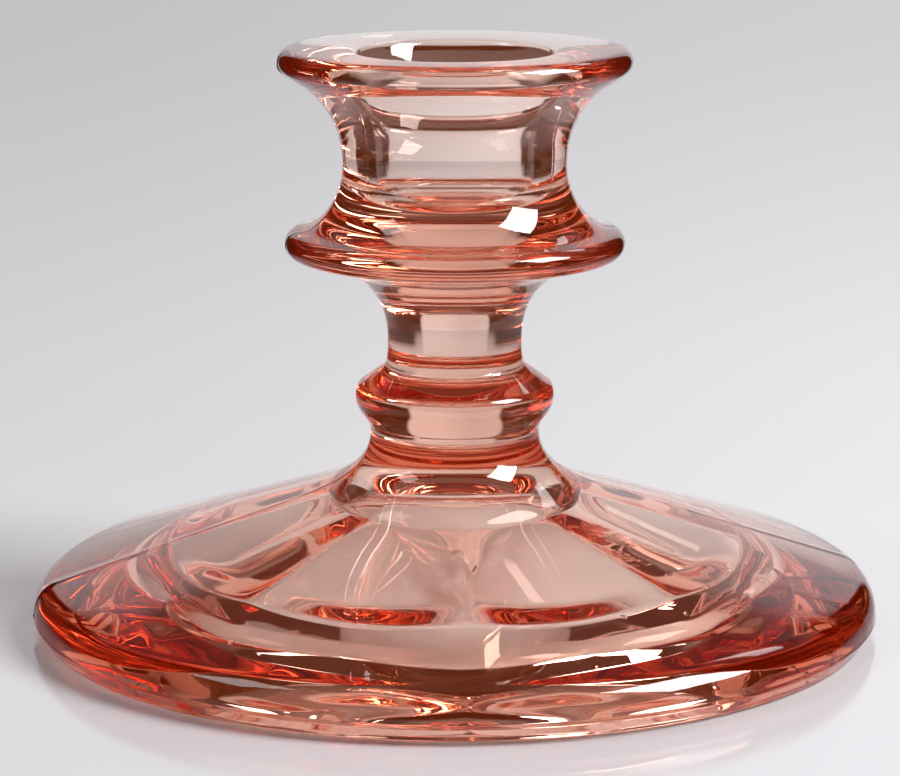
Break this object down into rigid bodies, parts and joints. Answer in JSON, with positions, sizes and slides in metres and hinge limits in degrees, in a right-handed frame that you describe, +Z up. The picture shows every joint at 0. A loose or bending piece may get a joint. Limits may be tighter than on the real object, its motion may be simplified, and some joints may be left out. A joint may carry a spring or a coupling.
{
  "type": "candlestick",
  "caption": "Low pressed pink glass candlestick: hollow panelled foot, knopped stem, drip flange and a socket that holds one taper candle.",
  "frame": {"origin": "centre of the foot on the table, at the plane of the standing ring", "axes": "+Z up along the candle axis; the parting line of the mould and its panels go round +Z"},
  "size_m": [0.1218, 0.1218, 0.0829],
  "materials": {
    "pink_glass": "clear pressed glass tinted pink all through, polished, deeper orange where it is thick"
  },
  "bodies": {
    "root": {"foot_ring": "pink_glass", "foot_web": "pink_glass", "foot_neck": "pink_glass", "knop": "pink_glass", "stem": "pink_glass", "drip_flange": "pink_glass", "candle_socket": "pink_glass", "mouth_rim": "pink_glass", "mould_seam": "pink_glass"}
  },
  "joints": []
}
